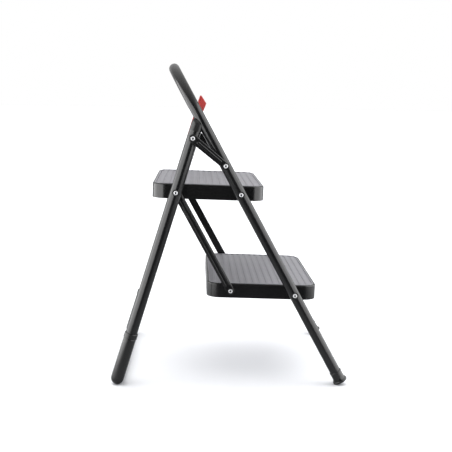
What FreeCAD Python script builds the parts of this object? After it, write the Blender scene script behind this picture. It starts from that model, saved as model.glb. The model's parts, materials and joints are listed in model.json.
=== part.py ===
import FreeCAD, Part
import math
import os

Vec = FreeCAD.Vector

# Folding two-step stool with a hand hoop: black steel tube frames, two pressed treads with
# ribbed grey mats, flat links and a red latch lever. X points to the front, Y to the left, Z up.

# Stance of the opened stool, in millimetres and degrees
front_lean = 28.8            # front legs lean back from vertical
rear_lean = 17.1             # rear legs lean forward from vertical
top_pivot_height = 470.6     # top step's pivot on the front legs
lower_pivot_height = 226.3   # lower step's pivot on the front legs
step_pivot_spacing = 155.0   # front pivot to rear pivot of a step
step_tilt = 1.4              # both treads drop slightly to the front
link_pivot_above_step = 78.3     # upper link's pivot, along the front leg
rear_link_pivot_above_step = 134.4   # upper link's pivot, along the rear leg
hoop_rise = 310.4            # top of the hand hoop, above the top step's pivot
step_side_gap = 9.0          # clear space between a tread's side and a front leg

# Tubes
front_tube_diameter = 26.2
rear_tube_diameter = 27.8
tube_wall = 1.2
hoop_corner_radius = 150.0
rear_corner_radius = 45.0
cross_bar_diameter = 16.0
cross_bar_above_step = 213.0     # along the front legs, above the top pivot
cross_rod_diameter = 8.0

# Treads
tread_depth = 271.0
tread_width = 392.0
tread_height = 35.5
tread_corner_radius = 32.0
tread_behind_pivot = 58.0
sheet = 1.5
tread_edge_rounding = 3.0
tread_lip = 9.0
stiffener_width = 60.0
stiffener_height = 12.0
mat_inset = 4.5
mat_recess = 1.5
mat_thickness = 2.6
mat_gap = 0.3
mat_border = 4.0
rib_pitch = 16.5
rib_gap = 5.5
rib_height = 0.9

# Links, pressed as channels that open towards the stool
link_sheet = 1.2
link_rounding = 2.4          # outer bend of a channel
upper_link_depth = 3.6
upper_link_rear_radius = 10.0
upper_link_front_radius = 8.5
lower_link_width = 19.4
lower_link_depth = 3.6
bead_height = 1.2
bead_half_width = 3.2
bead_end = 16.0              # the bead stops this far from a pivot

# Feet of the front legs
foot_flange_radius = 18.0
foot_flange_height = 6.0
foot_sleeve_wall = 1.1
foot_height = 29.5
foot_base = 5.0
foot_rounding = 2.2
foot_collar = 4.5
foot_neck = 9.5              # height of the hollow curve between flange and sleeve
foot_flat = 1.0              # depth worn flat on the floor

# Corner shoes of the rear frame
shoe_radius = 15.6
shoe_reach = 119.5           # up the leg
shoe_tail = 92.0             # along the cross tube, past the bend
shoe_tail_collar = 16.9      # radius
shoe_collar_radius = 16.4
shoe_collar_height = 14.0
shoe_waist_radius = 15.3
shoe_ring = 1.2              # groove under the collar
shoe_flat = 0.6              # depth worn flat on the floor

# End saddles of the rear legs
saddle_above_link = 18.0     # seam between tube and saddle, above the link pivot
saddle_length = 28.0
saddle_cheek = 2.0
saddle_overlap = 7.0         # how far a cheek reaches over the side of the front tube
saddle_plug = 12.0           # ends above the cross rod, inside the tube
saddle_rounding = 6.0
saddle_side_rounding = 11.0

# Rivets, washers and spacers
rivet_diameter = 8.0
rivet_head_diameter = 10.0
rivet_head_height = 2.0
rivet_crown = 0.35           # flat left on the ring of a head, between its rounded rims
rivet_recess_diameter = 4.5
rivet_recess_depth = 5.0
tail_diameter = 13.0
tail_height = 2.0
washer_diameter = 16.0
boss_wall = 2.4              # of the bushes inside the links
washer_thickness = 0.8
thin_washer = 0.8            # between a tread and its lower link
flat_head_height = 1.8       # lower rear rivets pass close under the rear tubes

# Clearances
fit_gap = 0.05               # between pieces of one body
running_gap = 0.08           # between a pin and what turns on it
side_play = 0.2              # between faces that turn past each other
stop_gap = 0.3               # between a saddle and the front tube
layer_gap = 0.9              # between the saddle cheeks and the upper links
cut_over = 1.0               # cutters reach this far past the faces they cut

# Latch lever, in the plane of the side view, from the middle of its cross bar
latch_width = 44.0
latch_arm_width = 26.0
latch_barrel_wall = 3.6
latch_bevel = 1.0            # round the outline of both side faces
latch_tip_rounding = 3.0
latch_chin_rounding = 4.0
latch_bend_rounding = 6.0
latch_back_rounding = 8.0
latch_toe_rounding = 1.4
latch_tip = (5.4, 50.0)
latch_nose = (20.6, 26.0)
latch_chin = (12.6, 4.5)
latch_back = (-2.5, 27.0)
latch_heel = (-12.6, -5.0)
latch_prong = 9.0            # thickness of the arm behind the cross rod
latch_rod_gap = 1.2
latch_toe = 16.5             # how far the arm reaches below the cross rod
latch_toe_thickness = 4.4
latch_toe_flare = 25.0       # degrees from vertical, to let the rod leave downwards

# Torsion spring beside the lever
spring_wire = 1.4
spring_turns = 3
spring_gap = 0.7             # clear gap between turns
spring_leg = 14.0

# Derived directions and pivots, with the top pivot above the origin
front_angle = math.radians(front_lean)
rear_angle = math.radians(rear_lean)
tilt_angle = math.radians(step_tilt)
across = Vec(0, 1, 0)
front_up = Vec(-math.sin(front_angle), 0, math.cos(front_angle))
front_out = Vec(math.cos(front_angle), 0, math.sin(front_angle))
rear_up = Vec(math.sin(rear_angle), 0, math.cos(rear_angle))
rear_out = Vec(-math.cos(rear_angle), 0, math.sin(rear_angle))
step_back = Vec(-math.cos(tilt_angle), 0, math.sin(tilt_angle))

front_radius = front_tube_diameter / 2
half_spacing = tread_width / 2 + step_side_gap + front_radius
hoop_height = top_pivot_height + hoop_rise
rear_radius = rear_tube_diameter / 2
rivet_radius = rivet_diameter / 2
tread_half_width = tread_width / 2
tread_half_height = tread_height / 2

pivot_b = Vec(0, 0, top_pivot_height)
pivot_g = pivot_b - front_up * ((top_pivot_height - lower_pivot_height) / math.cos(front_angle))
pivot_d = pivot_b + step_back * step_pivot_spacing
pivot_e = pivot_g + step_back * step_pivot_spacing
pivot_a = pivot_b + front_up * link_pivot_above_step
pivot_c = pivot_d + rear_up * rear_link_pivot_above_step
latch_pivot = pivot_b + front_up * cross_bar_above_step

rear_foot_height = shoe_radius - shoe_flat
rear_foot = pivot_d - rear_up * ((pivot_d.z - rear_foot_height) / math.cos(rear_angle))
sole_height = (foot_flange_radius - foot_rounding) * math.sin(front_angle)
sole_height += foot_rounding * (1 - math.cos(front_angle)) - foot_flat
sole = pivot_b - front_up * ((top_pivot_height - sole_height) / math.cos(front_angle))

# Layers across the width, as distances from the middle plane
front_inner = half_spacing - front_radius
front_outer = half_spacing + front_radius
rear_inner = half_spacing - rear_radius
rear_outer = half_spacing + rear_radius
saddle_half_width = front_radius + stop_gap + saddle_cheek
link_face = half_spacing + saddle_half_width + layer_gap
link_top = link_face + upper_link_depth
lower_link_face = tread_half_width + thin_washer + side_play
lower_link_top = lower_link_face + lower_link_depth

sides = (("left", 1), ("right", -1))


def cylinder_across(point, side, inner, outer, radius):
    """Round bar along Y, between two distances from the middle plane."""
    start = Vec(point.x, side * inner, point.z)
    return Part.makeCylinder(radius, outer - inner, start, across * side)


def bent_path(points, radius):
    """Straight runs through the points, with every corner turned on one radius."""
    edges = []
    start = points[0]
    for before, corner, after in zip(points, points[1:], points[2:]):
        inward = (before - corner).normalize()
        outward = (after - corner).normalize()
        half_turn = (math.pi - inward.getAngle(outward)) / 2
        middle = (inward + outward).normalize()
        first = corner + inward * (radius * math.tan(half_turn))
        last = corner + outward * (radius * math.tan(half_turn))
        crown = corner + middle * (radius / math.cos(half_turn) - radius)
        edges.append(Part.makeLine(start, first))
        edges.append(Part.Arc(first, crown, last).toShape())
        start = last
    edges.append(Part.makeLine(start, points[-1]))
    return Part.Wire(edges)


def swept(path, start, direction, radius):
    ring = Part.Wire(Part.makeCircle(radius, start, direction))
    return path.makePipeShell([ring], True, False)


def rounded_outline(corners, y):
    """Closed outline in the side view. Each corner is a point and its radius."""
    points = [Vec(x, y, z) for x, z, _ in corners]
    edges = []
    spans = []
    for index, (_, _, radius) in enumerate(corners):
        corner = points[index]
        if radius == 0:
            spans.append((corner, None, corner))
            continue
        inward = (points[index - 1] - corner).normalize()
        outward = (points[(index + 1) % len(points)] - corner).normalize()
        half_turn = (math.pi - inward.getAngle(outward)) / 2
        middle = (inward + outward).normalize()
        first = corner + inward * (radius * math.tan(half_turn))
        last = corner + outward * (radius * math.tan(half_turn))
        crown = corner + middle * (radius / math.cos(half_turn) - radius)
        spans.append((first, crown, last))
    for (first, crown, last), (following, _, _) in zip(spans, spans[1:] + spans[:1]):
        if crown is not None:
            edges.append(Part.Arc(first, crown, last).toShape())
        edges.append(Part.makeLine(last, following))
    return Part.Wire(edges)


def rounded_plate(x_low, x_high, half_width, radius, z_low, z_high):
    """Flat plate with rounded corners, symmetrical about the middle plane."""
    corners = [(x_low, -half_width), (x_high, -half_width), (x_high, half_width), (x_low, half_width)]
    inward = [(1, 1), (-1, 1), (-1, -1), (1, -1)]
    edges = []
    arcs = []
    for (x, y), (sx, sy) in zip(corners, inward):
        in_x = Vec(x + sx * radius, y, z_low)
        in_y = Vec(x, y + sy * radius, z_low)
        slack = radius * (1 - math.sqrt(0.5))
        crown = Vec(x + sx * slack, y + sy * slack, z_low)
        arcs.append((in_y, crown, in_x) if sx == sy else (in_x, crown, in_y))
    for (first, crown, last), (following, _, _) in zip(arcs, arcs[1:] + arcs[:1]):
        edges.append(Part.Arc(first, crown, last).toShape())
        edges.append(Part.makeLine(last, following))
    return Part.Face(Part.Wire(edges)).extrude(Vec(0, 0, z_high - z_low))


def link_face_outline(start, end, start_radius, end_radius, y):
    """Flat strip between two pivots, with a round end at each."""
    run = end - start
    lean = math.asin((start_radius - end_radius) / run.Length)
    along = Vec(run.x, 0, run.z).normalize()
    normal = Vec(-along.z, 0, along.x)
    near, far = Vec(start.x, y, start.z), Vec(end.x, y, end.z)
    upper = normal * math.cos(lean) + along * math.sin(lean)
    lower = normal * -math.cos(lean) + along * math.sin(lean)
    return Part.Face(Part.Wire([
        Part.makeLine(near + upper * start_radius, far + upper * end_radius),
        Part.Arc(far + upper * end_radius, far + along * end_radius, far + lower * end_radius).toShape(),
        Part.makeLine(far + lower * end_radius, near + lower * start_radius),
        Part.Arc(near + lower * start_radius, near - along * start_radius,
                 near + upper * start_radius).toShape(),
    ]))


def bead(start, end, y, side):
    """Pressed bead along a link, with sloping flanks."""
    along = (end - start).normalize()
    first, last = start + along * bead_end, end - along * bead_end
    crest = bead_half_width - bead_height
    foot = link_face_outline(first, last, bead_half_width, bead_half_width, y)
    top = link_face_outline(first, last, crest, crest, y + side * bead_height)
    return Part.makeLoft([foot.OuterWire, top.OuterWire], True, True)


def channel_link(start, end, start_radius, end_radius, face, depth, side):
    """Shallow channel between two pivots, rounded outside and open towards the stool."""
    outline = link_face_outline(start, end, start_radius, end_radius, side * face)
    link = outline.extrude(Vec(0, side * depth, 0))
    rim = [edge for edge in link.Edges if edge.BoundBox.YLength < fit_gap
           and abs(edge.CenterOfMass.y) > face + depth - fit_gap]
    link = link.makeFillet(link_rounding, rim)
    hollow = link_face_outline(start, end, start_radius - link_sheet, end_radius - link_sheet,
                               side * (face - cut_over))
    link = link.cut(hollow.extrude(Vec(0, side * (depth - link_sheet + cut_over), 0)))
    for pivot in (start, end):
        boss = cylinder_across(pivot, side, face, face + depth - link_sheet / 2, rivet_radius + boss_wall)
        link = link.fuse(boss)
    return link


def on_leg(axis_point, direction, distance, side):
    """Point on a leg's centre line, measured from one of its pivots."""
    point = axis_point + direction * distance
    return Vec(point.x, side * half_spacing, point.z)


def turned_on_leg(profile, base, direction):
    """Round piece from a half section of (radius, height) arcs and lines, set along a leg."""
    solid = Part.Face(profile).revolve(Vec(0, 0, 0), Vec(0, 0, 1), 360)
    turn = FreeCAD.Rotation(Vec(0, 0, 1), direction)
    solid.Placement = FreeCAD.Placement(base, turn)
    return solid


def front_path():
    hoop_centre = hoop_height - front_radius
    rise = (hoop_centre - top_pivot_height) / math.cos(front_angle)
    foot = sole + front_up * foot_base
    crown = pivot_b + front_up * rise
    points = [Vec(foot.x, -half_spacing, foot.z), Vec(crown.x, -half_spacing, crown.z),
              Vec(crown.x, half_spacing, crown.z), Vec(foot.x, half_spacing, foot.z)]
    return bent_path(points, hoop_corner_radius), points[0]


def front_tube_solid(radius):
    path, start = front_path()
    return swept(path, start, front_up, radius)


def front_frame_tube():
    tube = front_tube_solid(front_radius).cut(front_tube_solid(front_radius - tube_wall))
    for _, side in sides:
        for pivot in (pivot_a, pivot_b, pivot_g):
            hole = cylinder_across(pivot, side, front_inner - cut_over, front_outer + cut_over,
                                   rivet_radius + fit_gap)
            tube = tube.cut(hole)
    return tube


def front_cross_bar():
    """Bar between the front legs, its ends coped to the tubes. The latch lever turns on it."""
    radius = cross_bar_diameter / 2
    crown = (hoop_height - front_radius - top_pivot_height) / math.cos(front_angle)
    into_bend = max(0.0, cross_bar_above_step - (crown - hoop_corner_radius))
    narrowing = hoop_corner_radius - math.sqrt(hoop_corner_radius ** 2 - into_bend ** 2)
    half = half_spacing - narrowing
    start = Vec(latch_pivot.x, -half, latch_pivot.z)
    bar = Part.makeCylinder(radius, 2 * half, start, across)
    bar = bar.cut(Part.makeCylinder(radius - tube_wall, 2 * half, start, across))
    return bar.cut(front_tube_solid(front_radius))


def foot_profile():
    """Half section of a front foot: flared flange, hollow neck, sleeve and collar."""
    rounding = foot_rounding
    slack = rounding * (1 - math.sqrt(0.5))
    flange = foot_flange_radius
    bore = front_radius + fit_gap
    sleeve = front_radius + foot_sleeve_wall
    collar = sleeve + foot_sleeve_wall / 2
    top = foot_height
    collar_foot = top - foot_collar
    bevel = foot_sleeve_wall / 2
    neck_top = foot_flange_height + foot_neck

    def at(radius, height):
        return Vec(radius, 0, height)

    run = flange - rounding - sleeve
    hollow = (run ** 2 + foot_neck ** 2) / (2 * run)
    centre = at(sleeve + hollow, neck_top)
    foot_of_arc = at(flange - rounding, foot_flange_height)
    middle = ((at(sleeve, neck_top) - centre) + (foot_of_arc - centre)).normalize()
    hollow_arc = Part.Arc(foot_of_arc, centre + middle * hollow, at(sleeve, neck_top)).toShape()
    edges = [
        Part.makeLine(at(0, 0), at(flange - rounding, 0)),
        Part.Arc(at(flange - rounding, 0), at(flange - slack, slack), at(flange, rounding)).toShape(),
        Part.makeLine(at(flange, rounding), at(flange, foot_flange_height - rounding)),
        Part.Arc(at(flange, foot_flange_height - rounding), at(flange - slack, foot_flange_height - slack),
                 at(flange - rounding, foot_flange_height)).toShape(),
        hollow_arc,
        Part.makeLine(at(sleeve, neck_top), at(sleeve, collar_foot)),
        Part.makeLine(at(sleeve, collar_foot), at(collar, collar_foot + bevel)),
        Part.makeLine(at(collar, collar_foot + bevel), at(collar, top - bevel)),
        Part.makeLine(at(collar, top - bevel), at(sleeve, top)),
        Part.makeLine(at(sleeve, top), at(bore, top)),
        Part.makeLine(at(bore, top), at(bore, foot_base)),
        Part.makeLine(at(bore, foot_base), at(0, foot_base)),
        Part.makeLine(at(0, foot_base), at(0, 0)),
    ]
    return Part.Wire(edges)


def below_floor():
    reach = 2 * hoop_height
    return Part.makeBox(2 * reach, 2 * reach, reach, Vec(-reach, -reach, -reach))


def front_foot(side):
    """Rubber foot square to its leg, worn flat where its rear edge meets the floor."""
    foot = turned_on_leg(foot_profile(), Vec(sole.x, side * half_spacing, sole.z), front_up)
    return foot.cut(below_floor())


def rear_path():
    top = pivot_c + rear_up * saddle_above_link
    points = [Vec(top.x, -half_spacing, top.z), Vec(rear_foot.x, -half_spacing, rear_foot.z),
              Vec(rear_foot.x, half_spacing, rear_foot.z), Vec(top.x, half_spacing, top.z)]
    return bent_path(points, rear_corner_radius), points[0]


def rear_tube_solid(radius):
    path, start = rear_path()
    return swept(path, start, rear_up, radius)


def rear_frame_tube():
    tube = rear_tube_solid(rear_radius).cut(rear_tube_solid(rear_radius - tube_wall))
    for _, side in sides:
        for pivot, gap in ((pivot_d, running_gap), (pivot_c, fit_gap)):
            hole = cylinder_across(pivot, side, rear_inner - cut_over, rear_outer + cut_over,
                                   rivet_radius + gap)
            tube = tube.cut(hole)
    return tube


def rear_cross_rod():
    """Rod through the tops of the rear legs. The latch lever catches it in the middle."""
    half = link_face - stop_gap
    return Part.makeCylinder(cross_rod_diameter / 2, 2 * half, Vec(pivot_c.x, -half, pivot_c.z), across)


def shoe_corner(side, reach, radius):
    """Bent round bar along a leg, round the corner and along the cross tube."""
    inner = half_spacing - rear_corner_radius - shoe_tail
    top = on_leg(rear_foot, rear_up, reach, side)
    corner = Vec(rear_foot.x, side * half_spacing, rear_foot.z)
    tail = Vec(rear_foot.x, side * inner, rear_foot.z)
    return swept(bent_path([top, corner, tail], rear_corner_radius), top, rear_up, radius)


def shoe_sleeve_profile():
    """Half section of a shoe's upper sleeve: slight taper, groove and collar."""
    length = shoe_reach - rear_corner_radius
    collar_foot = length - shoe_collar_height
    points = [(rear_radius - tube_wall, 0), (shoe_radius, 0),
              (shoe_waist_radius, collar_foot - shoe_ring),
              (shoe_waist_radius - shoe_ring / 2, collar_foot),
              (shoe_collar_radius, collar_foot + shoe_ring),
              (shoe_collar_radius, length - shoe_ring), (shoe_collar_radius - shoe_ring / 2, length),
              (rear_radius - tube_wall, length)]
    return Part.makePolygon([Vec(radius, 0, height) for radius, height in points + points[:1]])


def rear_shoe(side):
    """Rubber boot on a corner of the rear frame. Outside, its corner is filled out to a square foot."""
    sleeve_foot = on_leg(rear_foot, rear_up, rear_corner_radius, side)
    sleeve = turned_on_leg(shoe_sleeve_profile(), sleeve_foot, rear_up)
    bend = shoe_corner(side, rear_corner_radius + shoe_ring, shoe_radius)
    corner = Vec(rear_foot.x, side * half_spacing, rear_foot.z)
    upright = Part.makeCylinder(shoe_radius, rear_corner_radius, corner, rear_up)
    level = Part.makeCylinder(shoe_radius, rear_corner_radius, corner, across * -side)
    tail = Vec(rear_foot.x, side * (half_spacing - rear_corner_radius - shoe_tail), rear_foot.z)
    collar = Part.makeCylinder(shoe_tail_collar, shoe_collar_height, tail, across * side)
    rims = [edge for edge in collar.Edges if edge.BoundBox.YLength < fit_gap]
    collar = collar.makeChamfer(shoe_ring / 2, rims)
    shoe = bend.fuse([sleeve, upright, level, Part.makeSphere(shoe_radius, corner), collar])
    bore = shoe_corner(side, shoe_reach + cut_over, rear_radius + fit_gap)
    through = Part.makeCylinder(rear_radius + fit_gap, 2 * cut_over, tail + across * (side * cut_over),
                                across * -side)
    return shoe.cut(bore).cut(through).cut(below_floor())


def rear_saddle(side):
    """Moulded end of a rear leg. Its cheeks straddle the front tube and stop the legs open."""
    seam = pivot_c + rear_up * saddle_above_link
    plug_start = on_leg(seam, rear_up, -saddle_plug, side)
    plug = Part.makeCylinder(rear_radius - tube_wall - fit_gap, saddle_plug + cut_over, plug_start, rear_up)
    rise = rear_up * saddle_length
    corners = [(seam + rear_out * rear_radius, 0), (seam + rear_out * rear_radius + rise, saddle_rounding),
               (seam - rear_out * rear_radius + rise, 0), (seam - rear_out * rear_radius, 0)]
    outline = rounded_outline([(point.x, point.z, radius) for point, radius in corners],
                              side * half_spacing - saddle_half_width)
    block = Part.Face(outline).extrude(Vec(0, 2 * saddle_half_width, 0))
    long_edges = [edge for edge in block.Edges
                  if edge.Curve.TypeId == "Part::GeomLine"
                  and edge.tangentAt(edge.FirstParameter).cross(rear_up).Length < fit_gap]
    block = block.makeFillet(saddle_side_rounding, long_edges)
    reach = 2 * hoop_height
    keep = Part.makeBox(reach, half_spacing, reach, Vec(-reach, -half_spacing / 2, -reach / 2))
    limit = pivot_b - front_out * (front_radius - saddle_overlap)
    keep.Placement = FreeCAD.Placement(Vec(limit.x, side * half_spacing, limit.z),
                                       FreeCAD.Rotation(across, -front_lean)).multiply(keep.Placement)
    return block.common(keep).cut(front_tube_solid(front_radius + stop_gap)).fuse(plug)


def at_pivot(solid, pivot):
    """Move a tread piece from its own frame, level and centred on its front pivot."""
    solid.Placement = FreeCAD.Placement(pivot, FreeCAD.Rotation(across, step_tilt)).multiply(solid.Placement)
    return solid


tread_rear = -step_pivot_spacing - tread_behind_pivot
tread_front = tread_rear + tread_depth


def tread_plate(inset, z_low, z_high):
    return rounded_plate(tread_rear + inset, tread_front - inset, tread_half_width - inset,
                         tread_corner_radius - inset, z_low, z_high)


def tread_pan():
    """Pressed steel tread: recessed top, rounded edge, deep sides and a lip turned in below."""
    top = tread_half_height
    pan = tread_plate(0, -top, top)
    rim = [edge for edge in pan.Edges if edge.BoundBox.ZMin > top - fit_gap]
    pan = pan.makeFillet(tread_edge_rounding, rim)
    panel_foot = top - mat_recess - sheet
    pan = pan.cut(tread_plate(sheet, -top + sheet, panel_foot))
    pan = pan.cut(tread_plate(sheet + tread_lip, -top - cut_over, -top + sheet + cut_over))
    pan = pan.cut(tread_plate(mat_inset, top - mat_recess, top + cut_over))
    for x, gap in ((0, running_gap), (-step_pivot_spacing, fit_gap)):
        hole = Part.makeCylinder(rivet_radius + gap, tread_width + 2 * cut_over,
                                 Vec(x, -tread_half_width - cut_over, 0), across)
        pan = pan.cut(hole)
    return pan


def tread_mat():
    """Rubber mat with ribs across the width inside a plain border."""
    base = tread_half_height - mat_recess
    inset = mat_inset + mat_gap
    mat = tread_plate(inset, base, base + mat_thickness)
    ribbed = tread_plate(inset + mat_border, base + mat_thickness - rib_height,
                         base + mat_thickness + cut_over)
    length = tread_depth - 2 * (inset + mat_border)
    count = int(length // rib_pitch)
    rib_width = rib_pitch - rib_gap
    first = tread_rear + tread_depth / 2 - count * rib_pitch / 2 + rib_gap / 2
    for index in range(count):
        rib = Part.makeBox(rib_width, tread_width, mat_thickness + cut_over,
                           Vec(first + index * rib_pitch, -tread_half_width, base))
        ribbed = ribbed.cut(rib)
    return mat.cut(ribbed)


def tread_stiffener():
    """Top-hat channel spot-welded under the tread's panel, from side to side."""
    top = tread_half_height - mat_recess - sheet
    middle = -step_pivot_spacing / 2
    half = stiffener_width / 2
    flange = stiffener_height
    foot = top - stiffener_height
    inner, outer = half - flange, half - flange + sheet
    points = [(-half, top), (-inner, top), (-inner, foot + sheet), (inner, foot + sheet),
              (inner, top), (half, top), (half, top - sheet), (outer, top - sheet),
              (outer, foot), (-outer, foot), (-outer, top - sheet), (-half, top - sheet)]
    length = tread_width - 2 * sheet - 2 * fit_gap
    section = [Vec(middle + x, -length / 2, z) for x, z in points]
    return Part.Face(Part.makePolygon(section + section[:1])).extrude(Vec(0, length, 0))


def upper_link(side):
    """Channel link with a pressed bead, from the front leg to the rear leg."""
    link = channel_link(pivot_c, pivot_a, upper_link_rear_radius, upper_link_front_radius,
                        link_face, upper_link_depth, side)
    link = link.fuse(bead(pivot_c, pivot_a, side * link_top, side))
    for pivot, gap in ((pivot_a, running_gap), (pivot_c, fit_gap)):
        hole = cylinder_across(pivot, side, link_face - cut_over, link_top + cut_over, rivet_radius + gap)
        link = link.cut(hole)
    return link


def lower_link(side):
    """Channel link between the steps' rear pivots."""
    radius = lower_link_width / 2
    link = channel_link(pivot_d, pivot_e, radius, radius, lower_link_face, lower_link_depth, side)
    for pivot in (pivot_d, pivot_e):
        hole = cylinder_across(pivot, side, lower_link_face - cut_over, lower_link_top + cut_over,
                               rivet_radius + running_gap)
        link = link.cut(hole)
    return link


def rivet(pivot, side, inner, outer, head_height=rivet_head_height, tail=0):
    """Semi-tubular rivet: shank along Y, a rolled ring of a head outside, flat tail inside."""
    top = outer + head_height
    body = cylinder_across(pivot, side, inner, outer + head_height / 2, rivet_radius)
    body = body.fuse(cylinder_across(pivot, side, outer, top, rivet_head_diameter / 2))
    if tail:
        body = body.fuse(cylinder_across(pivot, side, inner - tail, inner, tail_diameter / 2))
    body = body.cut(cylinder_across(pivot, side, top - rivet_recess_depth, top + cut_over,
                                    rivet_recess_diameter / 2))
    rims = [edge for edge in body.Edges if edge.BoundBox.YLength < fit_gap
            and abs(edge.CenterOfMass.y) > top - fit_gap]
    ring = (rivet_head_diameter - rivet_recess_diameter) / 2
    return body.makeFillet((ring - rivet_crown) / 2, rims)


def washer(pivot, side, inner, outer, gap, against=None):
    """Ring round a rivet. Against a tube it is shaped to the tube's curve."""
    ring = cylinder_across(pivot, side, inner, outer, washer_diameter / 2)
    ring = ring.cut(cylinder_across(pivot, side, inner - cut_over, outer + cut_over, rivet_radius + gap))
    if against is not None:
        ring = ring.cut(against)
    return ring


def both_sides(make):
    return Part.makeCompound([make(side) for _, side in sides])


def leg_solid(pivot, direction, side, radius):
    """Solid round bar along a leg beside a pivot, to shape what seats on the tube."""
    reach = 2 * washer_diameter
    return Part.makeCylinder(radius, 2 * reach, on_leg(pivot, direction, -reach, side), direction)


def on_front_tube(pivot, side, inner, outer, gap=fit_gap):
    return washer(pivot, side, inner, outer, gap, leg_solid(pivot, front_up, side, front_radius))


def on_rear_tube(pivot, side, inner, outer, gap):
    return washer(pivot, side, inner, outer, gap, leg_solid(pivot, rear_up, side, rear_radius))


def front_rivet_washers():
    """Shaped washers under the rivet heads on the front legs."""
    rings = [on_front_tube(pivot, side, half_spacing, front_outer + washer_thickness)
             for _, side in sides for pivot in (pivot_b, pivot_g)]
    return Part.makeCompound(rings)


def step_bushes():
    """Spacer bushes between the front legs and the treads."""
    bushes = [on_front_tube(pivot, side, tread_half_width + side_play, half_spacing)
              for _, side in sides for pivot in (pivot_b, pivot_g)]
    return Part.makeCompound(bushes)


def front_link_spacers():
    """Spacers between the front legs and the upper links."""
    return both_sides(lambda side: on_front_tube(pivot_a, side, half_spacing, link_face - side_play))


def rear_link_spacers():
    """Spacers between the rear legs and the upper links."""
    return both_sides(lambda side: on_rear_tube(pivot_c, side, half_spacing, link_face - stop_gap, fit_gap))


def rear_rivet_washers():
    """Shaped washers under the rivet heads on the rear legs."""
    outer = rear_outer + washer_thickness
    return both_sides(lambda side: on_rear_tube(pivot_d, side, half_spacing, outer, running_gap))


def rear_step_spacers():
    """Spacers between the rear legs and the lower links."""
    inner = lower_link_top + side_play
    return both_sides(lambda side: on_rear_tube(pivot_d, side, inner, half_spacing, running_gap))


def thin_washers(pivot):
    outer = tread_half_width + thin_washer
    return both_sides(lambda side: washer(pivot, side, tread_half_width, outer, fit_gap))


def top_front_rivets():
    inner = tread_half_width - sheet - side_play
    outer = front_outer + washer_thickness
    return both_sides(lambda side: rivet(pivot_b, side, inner, outer, tail=tail_height))


def lower_front_rivets():
    inner = tread_half_width - sheet - side_play
    outer = front_outer + washer_thickness
    return both_sides(lambda side: rivet(pivot_g, side, inner, outer, tail=tail_height))


def top_rear_rivets():
    outer = rear_outer + washer_thickness + side_play
    return both_sides(lambda side: rivet(pivot_d, side, tread_half_width - sheet, outer, tail=tail_height))


def lower_rear_rivets():
    outer = lower_link_top + side_play + washer_thickness
    inner = tread_half_width - sheet
    return both_sides(lambda side: rivet(pivot_e, side, inner, outer, flat_head_height, tail_height))


def lower_rear_washers():
    inner = lower_link_top + side_play
    return both_sides(lambda side: washer(pivot_e, side, inner, inner + washer_thickness, fit_gap))


def link_front_rivets():
    outer = link_top + side_play + washer_thickness
    return both_sides(lambda side: rivet(pivot_a, side, half_spacing, outer))


def link_front_washers():
    inner = link_top + side_play
    return both_sides(lambda side: washer(pivot_a, side, inner, inner + washer_thickness, fit_gap))


def link_rear_rivets():
    outer = link_top + washer_thickness
    return both_sides(lambda side: rivet(pivot_c, side, link_face, outer))


def link_rear_washers():
    return both_sides(lambda side: washer(pivot_c, side, link_top, link_top + washer_thickness, fit_gap))


def latch_lever():
    """Moulded lever on the front cross bar: finger tab above, arm behind the cross rod below."""
    bar = cross_bar_diameter / 2
    barrel = bar + latch_barrel_wall
    rod = pivot_c - latch_pivot
    rod_radius = cross_rod_diameter / 2
    behind = rod.x - rod_radius - latch_rod_gap
    flare = math.tan(math.radians(latch_toe_flare))
    toe_z = rod.z - latch_toe
    toe_x = behind - flare * latch_toe
    bend = latch_bend_rounding
    corners = [(*latch_tip, latch_tip_rounding), (*latch_nose, latch_tip_rounding),
               (*latch_chin, latch_chin_rounding), (bar, -barrel, latch_chin_rounding),
               (0, -barrel - bar, bend), (behind, rod.z + latch_toe, bend), (behind, rod.z, bend),
               (toe_x, toe_z, latch_toe_rounding),
               (toe_x - latch_toe_thickness, toe_z, latch_toe_rounding),
               (behind - latch_prong, rod.z, bend), (*latch_heel, bend), (-barrel, bar, bend),
               (*latch_back, latch_back_rounding)]
    placed = [(latch_pivot.x + x, latch_pivot.z + z, radius) for x, z, radius in corners]
    low = -latch_width / 2
    lever = Part.Face(rounded_outline(placed, low)).extrude(Vec(0, latch_width, 0))
    rims = [edge for edge in lever.Edges if edge.BoundBox.YLength < fit_gap]
    lever = lever.makeChamfer(latch_bevel, rims)
    reach = 2 * hoop_height
    for _, side in sides:
        inner = latch_arm_width / 2
        trim = Part.makeBox(reach, latch_width, reach,
                            Vec(-reach / 2, inner if side > 0 else -inner - latch_width, 0))
        trim.translate(Vec(latch_pivot.x, 0, latch_pivot.z - barrel - bar - reach))
        lever = lever.cut(trim)
    bore = Part.makeCylinder(bar + running_gap, latch_width + 2 * cut_over,
                             Vec(latch_pivot.x, low - cut_over, latch_pivot.z), across)
    return lever.cut(bore)


def biarc(start, start_direction, end, end_direction):
    """Two arcs that leave the start and reach the end in the given directions."""
    chord = end - start
    both = start_direction + end_direction
    bend = 2 * (1 - start_direction.dot(end_direction))
    along = chord.dot(both)
    arm = (-along + math.sqrt(along * along + bend * chord.dot(chord))) / bend
    first, second = start + start_direction * arm, end - end_direction * arm
    middle = (first + second) * 0.5
    arcs = []
    for low, apex, high in ((start, first, middle), (middle, second, end)):
        turn = (apex - low).getAngle(high - apex)
        base = (low + high) * 0.5
        crown = base + (apex - base) * (math.tan(turn / 4) / math.tan(turn / 2))
        arcs.append(Part.Arc(low, crown, high).toShape())
    return arcs


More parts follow.
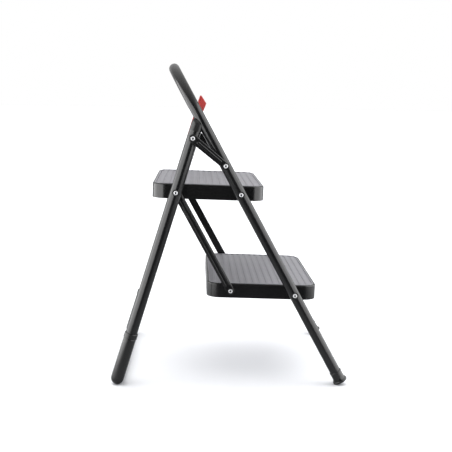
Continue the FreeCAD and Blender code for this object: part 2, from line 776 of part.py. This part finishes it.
def latch_spring():
    """Torsion spring round the cross bar, beside the lever, in one unbroken wire."""
    radius = cross_bar_diameter / 2 + spring_gap + spring_wire / 2
    pitch = spring_wire + spring_gap
    start_y = latch_width / 2 + side_play + spring_wire

    def point(quarter):
        angle = quarter * math.pi / 2
        along = start_y + pitch * quarter / 4
        return latch_pivot + Vec(radius * math.cos(angle), along, radius * math.sin(angle))

    def direction(quarter):
        angle = quarter * math.pi / 2
        rise = pitch / (2 * math.pi)
        return Vec(-radius * math.sin(angle), rise, radius * math.cos(angle)).normalize()

    quarters = 4 * spring_turns
    lead_in = point(0) - direction(0) * spring_leg
    edges = [Part.makeLine(lead_in, point(0))]
    for quarter in range(quarters):
        edges += biarc(point(quarter), direction(quarter), point(quarter + 1), direction(quarter + 1))
    lead_out = point(quarters) + direction(quarters) * spring_leg
    edges.append(Part.makeLine(point(quarters), lead_out))
    slope = math.atan(pitch / (2 * math.pi * radius))
    print("latch spring: gap between turns", round(pitch * math.cos(slope) - spring_wire, 2), "mm")
    path = Part.Wire(edges)
    ring = Part.Wire(Part.makeCircle(spring_wire / 2, lead_in, direction(0)))
    return path.makePipeShell([ring], True, False)


def all_parts():
    parts = {
        "front_frame_tube": front_frame_tube(),
        "front_cross_bar": front_cross_bar(),
        "rear_frame_tube": rear_frame_tube(),
        "rear_cross_rod": rear_cross_rod(),
        "front_rivet_washers": front_rivet_washers(),
        "step_bushes": step_bushes(),
        "front_link_spacers": front_link_spacers(),
        "rear_link_spacers": rear_link_spacers(),
        "rear_rivet_washers": rear_rivet_washers(),
        "rear_step_spacers": rear_step_spacers(),
        "top_link_washers": thin_washers(pivot_d),
        "lower_link_washers": thin_washers(pivot_e),
        "top_front_rivets": top_front_rivets(),
        "lower_front_rivets": lower_front_rivets(),
        "top_rear_rivets": top_rear_rivets(),
        "lower_rear_rivets": lower_rear_rivets(),
        "lower_rear_washers": lower_rear_washers(),
        "link_front_rivets": link_front_rivets(),
        "link_front_washers": link_front_washers(),
        "link_rear_rivets": link_rear_rivets(),
        "link_rear_washers": link_rear_washers(),
        "latch_lever": latch_lever(),
        "latch_spring": latch_spring(),
    }
    for name, side in sides:
        parts["front_foot_" + name] = front_foot(side)
        parts["rear_shoe_" + name] = rear_shoe(side)
        parts["rear_saddle_" + name] = rear_saddle(side)
        parts["upper_link_" + name] = upper_link(side)
        parts["lower_link_" + name] = lower_link(side)
    for name, pivot in (("top", pivot_b), ("lower", pivot_g)):
        parts[name + "_step_pan"] = at_pivot(tread_pan(), pivot)
        parts[name + "_step_mat"] = at_pivot(tread_mat(), pivot)
        parts[name + "_step_stiffener"] = at_pivot(tread_stiffener(), pivot)
    return parts


def write_parts():
    """Centre the footprint on the origin and write one file per piece."""
    os.makedirs("parts", exist_ok=True)
    parts = all_parts()
    low = min(shape.BoundBox.XMin for shape in parts.values())
    high = max(shape.BoundBox.XMax for shape in parts.values())
    centre = Vec(-(low + high) / 2, 0, 0)
    for name, shape in parts.items():
        shape.translate(centre)
        shape.exportStep(os.path.join("parts", name + ".step"))
    pivots = {"a": pivot_a, "b": pivot_b, "c": pivot_c, "d": pivot_d, "e": pivot_e, "g": pivot_g,
              "latch": latch_pivot}
    for name, pivot in pivots.items():
        print("pivot", name, [round(value, 4) for value in (pivot + centre)])


write_parts()
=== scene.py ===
import json
import math
import bmesh
import bpy
from mathutils import Matrix, Vector


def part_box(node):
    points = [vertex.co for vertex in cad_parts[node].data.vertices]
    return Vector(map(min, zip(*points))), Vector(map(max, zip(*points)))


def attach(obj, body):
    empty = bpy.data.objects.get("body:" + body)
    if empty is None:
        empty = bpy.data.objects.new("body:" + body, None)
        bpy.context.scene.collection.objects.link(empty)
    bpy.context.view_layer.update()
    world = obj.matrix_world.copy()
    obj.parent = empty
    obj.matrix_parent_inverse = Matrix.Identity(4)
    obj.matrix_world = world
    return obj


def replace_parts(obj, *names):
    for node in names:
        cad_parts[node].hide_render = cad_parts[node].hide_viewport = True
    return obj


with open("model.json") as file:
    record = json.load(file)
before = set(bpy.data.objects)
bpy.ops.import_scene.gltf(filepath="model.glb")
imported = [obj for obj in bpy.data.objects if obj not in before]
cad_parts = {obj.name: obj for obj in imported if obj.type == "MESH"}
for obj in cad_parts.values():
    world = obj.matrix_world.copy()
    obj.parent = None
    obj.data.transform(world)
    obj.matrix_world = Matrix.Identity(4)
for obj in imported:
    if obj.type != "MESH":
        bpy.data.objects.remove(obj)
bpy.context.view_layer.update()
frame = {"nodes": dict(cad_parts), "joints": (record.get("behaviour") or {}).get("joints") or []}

scene = bpy.context.scene


# Small helpers, in metres

def mm(value):
    return value / 1000


def inMetres(look):
    # the lengths of a piece's dictionary, whose names end in Mm
    return {name: mm(value) for name, value in look.items() if name.endswith("Mm")}


def toLinear(hexColour):
    channels = [int(hexColour[start:start + 2], 16) / 255 for start in (1, 3, 5)]
    return [c / 12.92 if c <= 0.04045 else ((c + 0.055) / 1.055) ** 2.4 for c in channels] + [1.0]


def addNode(tree, kind, inputs=None, **settings):
    node = tree.nodes.new(kind)
    for name, value in settings.items():
        setattr(node, name, value)
    for name, value in (inputs or {}).items():
        if isinstance(value, bpy.types.NodeSocket):
            tree.links.new(value, node.inputs[name])
        else:
            node.inputs[name].default_value = value
    return node


def jointPlace(name):
    joint = next(joint for joint in frame["joints"] if joint["name"] == name)
    return Vector(joint["pos_m"])


# Finishes, each from what the real one is made of

def newMaterial(name):
    material = bpy.data.materials.new(name)
    material.use_nodes = True
    material.node_tree.nodes.clear()
    return material, material.node_tree


def grainedMaterial(name, look, sockets):
    # two noises in the piece's own place: broad clouds for tone and gloss, fine grain for the bump
    material, tree = newMaterial(name)
    place = addNode(tree, "ShaderNodeTexCoord").outputs["Object"]
    clouds = addNode(tree, "ShaderNodeTexNoise", {"Vector": place, "Scale": 1000 / look["cloudMm"], "Detail": 3.0})
    grain = addNode(tree, "ShaderNodeTexNoise", {"Vector": place, "Scale": 1000 / look["grainMm"], "Detail": 2.0})
    tone = addNode(tree, "ShaderNodeMix", {0: clouds.outputs["Fac"], 6: toLinear(look["dark"]),
                                           7: toLinear(look["light"])}, data_type="RGBA")
    gloss = addNode(tree, "ShaderNodeMapRange", {"Value": clouds.outputs["Fac"], "From Min": 0.3, "From Max": 0.7,
                                                 "To Min": look["roughness"][0], "To Max": look["roughness"][1]})
    bump = addNode(tree, "ShaderNodeBump", {"Height": grain.outputs["Fac"], "Strength": 1.0,
                                            "Distance": mm(look["grainDepthMm"])})
    shader = addNode(tree, "ShaderNodeBsdfPrincipled", {"Base Color": tone.outputs[2], "Roughness": gloss.outputs[0],
                                                        "Normal": bump.outputs["Normal"], **sockets})
    addNode(tree, "ShaderNodeOutputMaterial", {"Surface": shader.outputs["BSDF"]})
    return material


powderCoat = {"dark": "#101011", "light": "#151516", "cloudMm": 60, "grainMm": 2.2, "grainDepthMm": 0.012,
              "roughness": (0.2, 0.25), "ior": 1.5}


def powderCoatedSteel(look):
    # satin black polyester powder, baked on: an even soft gloss with a faint orange peel.
    # the real peel is under 1 mm across and is drawn at about 2 mm to show at all
    return grainedMaterial("powder coated steel", look, {"IOR": look["ior"]})


matPlastic = {"dark": "#7d7c81", "light": "#8e8d92", "cloudMm": 45, "grainMm": 1.6, "grainDepthMm": 0.08,
              "roughness": (0.46, 0.58), "ior": 1.53, "waveMm": 17.28, "waveDepthMm": 0.12}


def mouldedPvc(look):
    # grey plasticised PVC, moulded: a dull sheen broken by a fine leathery grain. Slow shallow waves run
    # across it as on a sheet that has shrunk a little over its ribs
    material = grainedMaterial("moulded PVC", look, {"IOR": look["ior"]})
    tree = material.node_tree
    place = addNode(tree, "ShaderNodeTexCoord").outputs["Object"]
    waves = addNode(tree, "ShaderNodeTexWave", {"Vector": place, "Scale": math.pi / (10 * mm(look["waveMm"])),
                                                "Distortion": 0.0}, wave_type="BANDS", bands_direction="X")
    normal = next(node for node in tree.nodes if node.type == "BSDF_PRINCIPLED").inputs["Normal"]
    wavy = addNode(tree, "ShaderNodeBump", {"Height": waves.outputs["Fac"], "Strength": 1.0,
                                            "Distance": mm(look["waveDepthMm"]),
                                            "Normal": normal.links[0].from_socket})
    tree.links.new(wavy.outputs["Normal"], normal)
    return material


rubberSkin = {"dark": "#101010", "light": "#151515", "cloudMm": 30, "grainMm": 1.6, "grainDepthMm": 0.012,
              "roughness": (0.2, 0.26), "ior": 1.52}


def mouldedRubber(look):
    # black synthetic rubber from a polished mould: about as dark and as glossy as the steel's coat, smoother
    return grainedMaterial("rubber", look, {"IOR": look["ior"]})


nylonAndRivetShadeSkin = {"dark": "#0d0d0e", "light": "#121213", "cloudMm": 25, "grainMm": 1.2, "grainDepthMm": 0.02,
             "roughness": (0.34, 0.42), "ior": 1.53}


def blackNylonAndRivetShade(look):
    # black moulded nylon: as dark as the coat, its gloss softened by a fine eroded grain. The same black also paints
    # the shade in the rivet hollows
    return grainedMaterial("moulded nylon, black, and painted rivet shade", look, {"IOR": look["ior"]})


redSkin = {"dark": "#b92a26", "light": "#c9352f", "cloudMm": 18, "grainMm": 1.0, "grainDepthMm": 0.03,
           "roughness": (0.36, 0.46), "ior": 1.53, "lightInside": 0.15, "lightDepthMm": 1.2}


def redNylon(look):
    # red moulded nylon: a clear strong red, light passes a little way in at its thin edges
    return grainedMaterial("moulded nylon, red", look, {"IOR": look["ior"], "Subsurface Weight": look["lightInside"],
                                                        "Subsurface Scale": mm(look["lightDepthMm"])})


zincSkin = {"dark": "#d6d8da", "light": "#f2f2f4", "cloudMm": 4, "grainMm": 0.8, "grainDepthMm": 0.02,
            "roughness": (0.5, 0.62)}


def zincPlatedSteel(look):
    # bright zinc over a pressed head: silvery, a little cloudy, with small dents from the setting tool
    return grainedMaterial("zinc plated steel", look, {"Metallic": 1.0})


springSkin = {"dark": "#77797c", "light": "#8f9194", "cloudMm": 6, "grainMm": 0.6, "grainDepthMm": 0.01,
              "roughness": (0.28, 0.4)}


def drawnSpringSteel(look):
    # drawn spring wire, oiled: darker than the plated heads, with a long clean highlight
    return grainedMaterial("spring steel wire", look, {"Metallic": 1.0})


finishes = {"black_powder_coat": powderCoatedSteel(powderCoat), "grey_mat": mouldedPvc(matPlastic),
            "black_rubber": mouldedRubber(rubberSkin), "black_plastic": blackNylonAndRivetShade(nylonAndRivetShadeSkin),
            "red_plastic": redNylon(redSkin), "bright_steel": zincPlatedSteel(zincSkin),
            "spring_steel": drawnSpringSteel(springSkin)}
for node in frame["nodes"].values():
    for slot in node.material_slots:
        slot.material = finishes[slot.material.name.split(".")[0]]
print("finishes:", len(finishes))


# Mesh makers

def newPiece(name, mesh, slotName, body, smoothAngle=35):
    bmesh.ops.recalc_face_normals(mesh, faces=mesh.faces)
    data = bpy.data.meshes.new(name)
    mesh.to_mesh(data)
    mesh.free()
    data.set_sharp_from_angle(angle=math.radians(smoothAngle))
    for face in data.polygons:
        face.use_smooth = True
    piece = bpy.data.objects.new(name, data)
    scene.collection.objects.link(piece)
    data.materials.append(finishes[slotName])
    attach(piece, body)
    return piece


def skin(mesh, rings):
    # joins rings of equal length into one closed skin
    loops = [[mesh.verts.new(point) for point in ring] for ring in rings]
    for lower, upper in zip(loops, loops[1:]):
        for index in range(len(lower)):
            following = (index + 1) % len(lower)
            mesh.faces.new((lower[index], lower[following], upper[following], upper[index]))
    mesh.faces.new(reversed(loops[0]))
    mesh.faces.new(loops[-1])


def plateRing(low, high, radius, inset, height, steps=8):
    # rounded rectangle seen from above, anticlockwise, drawn in by the inset
    corner = radius - inset
    ring = []
    for turn, (x, y) in enumerate(((high.x, high.y), (low.x, high.y), (low.x, low.y), (high.x, low.y))):
        centre = Vector((x - math.copysign(radius, x - (low.x + high.x) / 2),
                         y - math.copysign(radius, y - (low.y + high.y) / 2), height))
        for step in range(steps + 1):
            angle = math.radians(90 * (turn + step / steps))
            ring.append(centre + Vector((math.cos(angle), math.sin(angle), 0)) * corner)
    return ring


def localBox(node, place):
    # a node's lowest and highest corners in a tilted frame
    back = place.inverted()
    points = [back @ vertex.co for vertex in frame["nodes"][node].data.vertices]
    return (Vector([min(point[axis] for point in points) for axis in range(3)]),
            Vector([max(point[axis] for point in points) for axis in range(3)]))


# Treads lie on the line from front pivot to rear pivot, a little down at the front
treadLine = jointPlace("fold") - jointPlace("lower_link_fold")
treadTilt = Matrix.Rotation(math.atan2(-treadLine.z, treadLine.x), 4, "Y")
treadPlaces = {"top": Matrix.Translation(jointPlace("fold")) @ treadTilt,
               "lower": Matrix.Translation(jointPlace("lower_step_fold")) @ treadTilt}

matMoulding = {"cornerMm": 27.2, "rimMm": 3.4, "rimAboveMm": 0.8, "ribDepthMm": 1.5, "ribPitchMm": 16.5, "ribMm": 9.6,
               "edgeMm": 0.7, "endGapMm": 0.15, "ribEndHeight": 0.55}


def ribRing(x, reach, base, top, width, edge):
    # section of one rib: steep flanks and a crest with rounded shoulders
    half = width / 2
    side = [(-half - edge, base), (-half, top - edge), (-half + edge / 3, top - edge / 3), (-half + edge, top)]
    section = side + [(-across, height) for across, height in reversed(side)]
    return [Vector((x + across, reach, height)) for across, height in section]


def dressMat(tread, moulding):
    node = tread + "_step_mat"
    place = treadPlaces[tread]
    low, high = localBox(node, place)
    look = inMetres(moulding)
    edge, rim, rib = look["edgeMm"], look["rimMm"], look["ribMm"]
    floor = high.z - look["rimAboveMm"] - look["ribDepthMm"]
    profile = [(edge / 2, low.z), (0, low.z + edge / 2), (0, high.z - edge), (edge * 0.3, high.z - edge * 0.3),
               (edge, high.z), (rim - edge, high.z), (rim - edge * 0.3, high.z - edge * 0.3), (rim, floor)]
    mesh = bmesh.new()
    skin(mesh, [plateRing(low, high, look["cornerMm"], inset, height) for inset, height in profile])
    inner = look["cornerMm"] - rim
    count = int((high.x - low.x - 2 * rim) // look["ribPitchMm"])
    middle = (low.x + high.x) / 2
    for index in range(count):
        x = middle + (index - (count - 1) / 2) * look["ribPitchMm"]
        # a rib near the front or back edge is shorter, to clear the rim's round corner
        over = max(0.0, abs(x - middle) + rib / 2 + edge - ((high.x - low.x) / 2 - rim - inner))
        reach = high.y - rim - look["endGapMm"] - (inner - math.sqrt(max(0.0, inner ** 2 - over ** 2)))
        ends = [(-reach, moulding["ribEndHeight"]), (-reach + edge, 1.0),
                (reach - edge, 1.0), (reach, moulding["ribEndHeight"])]
        skin(mesh, [ribRing(x, y, floor - edge / 2, floor + look["ribDepthMm"] * share, rib, edge)
                    for y, share in ends])
    mesh.transform(place)
    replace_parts(newPiece(tread + "_mat_moulding", mesh, "grey_mat", tread + "_step"), node)


for tread in treadPlaces:
    dressMat(tread, matMoulding)
print("mats moulded")


# Two beads are pressed along each lower link and run out before its pivots
linkBeads = {"fromAxisMm": 4.6, "halfWidthMm": 2.3, "heightMm": 1.4, "endMm": 15.0, "runOutMm": 5.0, "sunkMm": 0.4,
             "tipHeight": 0.02, "archSteps": 8}


def dressLink(name, side, beads):
    look = inMetres(beads)
    low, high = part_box("lower_link_" + name)
    face = high[1] if side > 0 else low[1]
    rivetLow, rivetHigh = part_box("lower_rear_rivets")
    upper = jointPlace("lower_link_fold")
    lower = Vector(((rivetLow[0] + rivetHigh[0]) / 2, 0, (rivetLow[2] + rivetHigh[2]) / 2))
    along = (lower - upper).normalized()
    across = Vector((along.z, 0, -along.x))
    out = Vector((0, side, 0))
    length = (lower - upper).length
    stations = [(look["endMm"], beads["tipHeight"]), (look["endMm"] + look["runOutMm"], 1.0),
                (length - look["endMm"] - look["runOutMm"], 1.0), (length - look["endMm"], beads["tipHeight"])]
    turns = [math.pi * step / beads["archSteps"] for step in range(beads["archSteps"] + 1)]
    mesh = bmesh.new()
    for offset in (-look["fromAxisMm"], look["fromAxisMm"]):
        rings = []
        for distance, share in stations:
            spot = upper + along * distance + across * offset
            spot.y = face
            arch = [spot + across * look["halfWidthMm"] * math.cos(turn)
                    + out * look["heightMm"] * math.sin(turn) * share for turn in turns]
            rings.append(arch + [arch[-1] - out * look["sunkMm"], arch[0] - out * look["sunkMm"]])
        skin(mesh, rings)
    newPiece("lower_link_beads_" + name, mesh, "black_powder_coat", "lower_links")


for name, side in (("left", 1), ("right", -1)):
    dressLink(name, side, linkBeads)
print("links dressed")


# The hollows of the tubular rivets are dark with shade: a shallow black dish closes each one as painted shade, where
# the real hollow is open and only shaded
rivetShadeDish = {"radiusMm": 2.2, "belowRimMm": 0.55, "dishMm": 0.25, "wallMm": 1.5, "sides": 24}
rivetNodes = {"front_frame": ["top_front_rivets", "lower_front_rivets", "link_front_rivets"],
              "top_step": ["top_rear_rivets"], "lower_step": ["lower_rear_rivets"],
              "upper_links": ["link_rear_rivets"]}


def paintRivetHollowShade(body, nodes, dish):
    look = inMetres(dish)
    radius, depth = look["radiusMm"], look["dishMm"]
    section = [(radius, look["wallMm"]), (radius, 0), (radius * 0.6, depth * 0.7), (radius * 0.25, depth)]
    turns = [math.tau * step / dish["sides"] for step in range(dish["sides"])]
    mesh = bmesh.new()
    for node in nodes:
        low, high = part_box(node)
        x, z = (low[0] + high[0]) / 2, (low[2] + high[2]) / 2
        for side, face in ((-1, low[1]), (1, high[1])):
            skin(mesh, [[Vector((x + reach * math.cos(turn), face - side * (look["belowRimMm"] + sunk),
                                 z - side * reach * math.sin(turn))) for turn in turns] for reach, sunk in section])
    # painted shade: the black dishes stand in for the shade inside the rivet hollows
    newPiece(body + "_rivet_hollow_painted_shade", mesh, "black_plastic", body)


for body, nodes in rivetNodes.items():
    paintRivetHollowShade(body, nodes, rivetShadeDish)
print("rivets dressed")


# Stage: pale floor, soft light and the photographed view

paleBoard = {"radiusM": 60.0, "segments": 96, "colour": "#f3f4f6", "roughness": 0.75, "specular": 0.2,
             "fadeY": (-1.0, -0.2), "glossFront": 0.03, "gloss": 0.5}


def paleFloor(look):
    mesh = bmesh.new()
    bmesh.ops.create_circle(mesh, cap_ends=True, segments=look["segments"], radius=look["radiusM"])
    data = bpy.data.meshes.new("floor")
    mesh.to_mesh(data)
    mesh.free()
    # plain painted board, evenly pale; in the stool's gloss it is dimmer, most of all in front
    material, tree = newMaterial("matt white board")
    board = addNode(tree, "ShaderNodeBsdfPrincipled", {"Base Color": toLinear(look["colour"]),
                                                       "Roughness": look["roughness"],
                                                       "Specular IOR Level": look["specular"]})
    place = addNode(tree, "ShaderNodeNewGeometry").outputs["Position"]
    parts = addNode(tree, "ShaderNodeSeparateXYZ", {"Vector": place})
    dimming = addNode(tree, "ShaderNodeMapRange", {"Value": parts.outputs["Y"], "From Min": look["fadeY"][0],
                                                   "From Max": look["fadeY"][1], "To Min": 1 - look["glossFront"],
                                                   "To Max": 1 - look["gloss"]})
    glossy = addNode(tree, "ShaderNodeLightPath").outputs["Is Glossy Ray"]
    share = addNode(tree, "ShaderNodeMath", {0: dimming.outputs["Result"], 1: glossy}, operation="MULTIPLY")
    dark = addNode(tree, "ShaderNodeBsdfDiffuse", {"Color": toLinear("#000000")})
    mixed = addNode(tree, "ShaderNodeMixShader", {0: share.outputs["Value"], 1: board.outputs["BSDF"],
                                                  2: dark.outputs["BSDF"]})
    addNode(tree, "ShaderNodeOutputMaterial", {"Surface": mixed.outputs["Shader"]})
    data.materials.append(material)
    floor = bpy.data.objects.new("floor", data)
    scene.collection.objects.link(floor)


# each ramp: the sky's axis, where it starts and ends, and the values there
skyLight = {"sideColour": "#f1f4ff", "topColour": "#ffffff",
            "ramps": {"tint": ("Z", 0.1, 0.7, 0.0, 1.0), "height": ("Z", 0.15, 0.9, 1.25, 2.8),
                      "depth": ("Y", -0.8, 0.1, 0.2, 1.0), "backdropGloss": ("Y", -0.9, 0.2, 0.03, 0.65),
                      "ceilingGloss": ("Z", 0.35, 0.9, 0.0, 0.4)}}


def studioSky(look):
    # even light from above and all round, less from where the photographer stands. Gloss sees it fainter,
    # because what it mostly shows is the two soft walls, and the view sees plain white
    world = bpy.data.worlds.new("studio")
    scene.world = world
    world.use_nodes = True
    tree = world.node_tree
    tree.nodes.clear()
    direction = addNode(tree, "ShaderNodeTexCoord").outputs["Generated"]
    parts = addNode(tree, "ShaderNodeSeparateXYZ", {"Vector": direction})
    path = addNode(tree, "ShaderNodeLightPath")
    ramps = {}
    for name, (axis, start, end, first, last) in look["ramps"].items():
        ramp = addNode(tree, "ShaderNodeMapRange", {"Value": parts.outputs[axis], "From Min": start, "From Max": end,
                                                    "To Min": first, "To Max": last}, interpolation_type="SMOOTHSTEP")
        ramps[name] = ramp.outputs["Result"]
    white = toLinear(look["topColour"])
    tint = addNode(tree, "ShaderNodeMix", {0: ramps["tint"], 6: toLinear(look["sideColour"]), 7: white},
                   data_type="RGBA")
    even = addNode(tree, "ShaderNodeMath", {0: ramps["height"], 1: ramps["depth"]}, operation="MULTIPLY")
    faint = addNode(tree, "ShaderNodeMath", {0: ramps["backdropGloss"], 1: ramps["ceilingGloss"]}, operation="ADD")
    evenSky = addNode(tree, "ShaderNodeBackground", {"Color": tint.outputs[2], "Strength": even.outputs["Value"]})
    faintSky = addNode(tree, "ShaderNodeBackground", {"Color": white, "Strength": faint.outputs["Value"]})
    seenSky = addNode(tree, "ShaderNodeBackground", {"Color": white, "Strength": 1.0})
    lit = addNode(tree, "ShaderNodeMixShader", {0: path.outputs["Is Glossy Ray"], 1: evenSky.outputs["Background"],
                                                2: faintSky.outputs["Background"]})
    whole = addNode(tree, "ShaderNodeMixShader", {0: path.outputs["Is Camera Ray"], 1: lit.outputs["Shader"],
                                                  2: seenSky.outputs["Background"]})
    addNode(tree, "ShaderNodeOutputWorld", {"Surface": whole.outputs["Shader"]})


# two tall soft walls beside the stool, from the floor up, each given by the floor points it runs between
softWalls = {"left wall": {"near": (-0.75, -1.7), "far": (-1.7, 0.9), "heightM": 1.15, "radiance": 4.0},
             "right wall": {"near": (0.95, -1.6), "far": (1.6, 0.9), "heightM": 2.2, "radiance": 2.9}}


def softWall(name, wall):
    near, far = (Vector((*wall[end], 0)) for end in ("near", "far"))
    up = Vector((0, 0, 1))
    inward = (far - near).normalized().cross(up)
    if inward.dot(near) > 0:
        inward = -inward
    data = bpy.data.lights.new(name, "AREA")
    data.shape = "RECTANGLE"
    data.size, data.size_y = (far - near).length, wall["heightM"]
    data.energy = wall["radiance"] * math.pi * data.size * data.size_y
    light = bpy.data.objects.new(name, data)
    scene.collection.objects.link(light)
    axes = Matrix((up.cross(-inward), up, -inward)).transposed().to_4x4()
    light.matrix_world = Matrix.Translation((near + far) / 2 + up * wall["heightM"] / 2) @ axes
    light.visible_camera = False
    light.visible_diffuse = False  # only its reflection shows; the sky gives the even light


# worked out from the photo's verticals, the floor line and the tread's edges
cameraShot = {"beforePivotM": 0.1083, "awayM": 2.1105, "heightM": 0.692, "yawDegrees": 2.23,
              "pitchDegrees": 8.93, "rollDegrees": 0.81, "focalPixels": 800, "framePixels": 452, "sensorMm": 36}


def photoCamera(shot):
    yaw, pitch, roll = (math.radians(shot[name]) for name in ("yawDegrees", "pitchDegrees", "rollDegrees"))
    forward = Vector((math.sin(yaw) * math.cos(pitch), math.cos(yaw) * math.cos(pitch), -math.sin(pitch)))
    right = Vector((math.cos(yaw), -math.sin(yaw), 0))
    up = right.cross(forward)
    turned = right * math.cos(roll) + up * math.sin(roll)
    raised = up * math.cos(roll) - right * math.sin(roll)
    camera = bpy.data.objects.new("photo view", bpy.data.cameras.new("photo view"))
    camera.data.lens = shot["focalPixels"] / shot["framePixels"] * shot["sensorMm"]
    camera.data.sensor_width = shot["sensorMm"]
    axes = Matrix((turned, raised, -forward)).transposed().to_4x4()
    place = Vector((jointPlace("fold").x - shot["beforePivotM"], -shot["awayM"], shot["heightM"]))
    camera.matrix_world = Matrix.Translation(place) @ axes
    scene.collection.objects.link(camera)
    scene.camera = camera


paleFloor(paleBoard)
studioSky(skyLight)
for name, wall in softWalls.items():
    softWall(name, wall)
photoCamera(cameraShot)
scene.view_settings.view_transform = "Standard"
print("stage set")
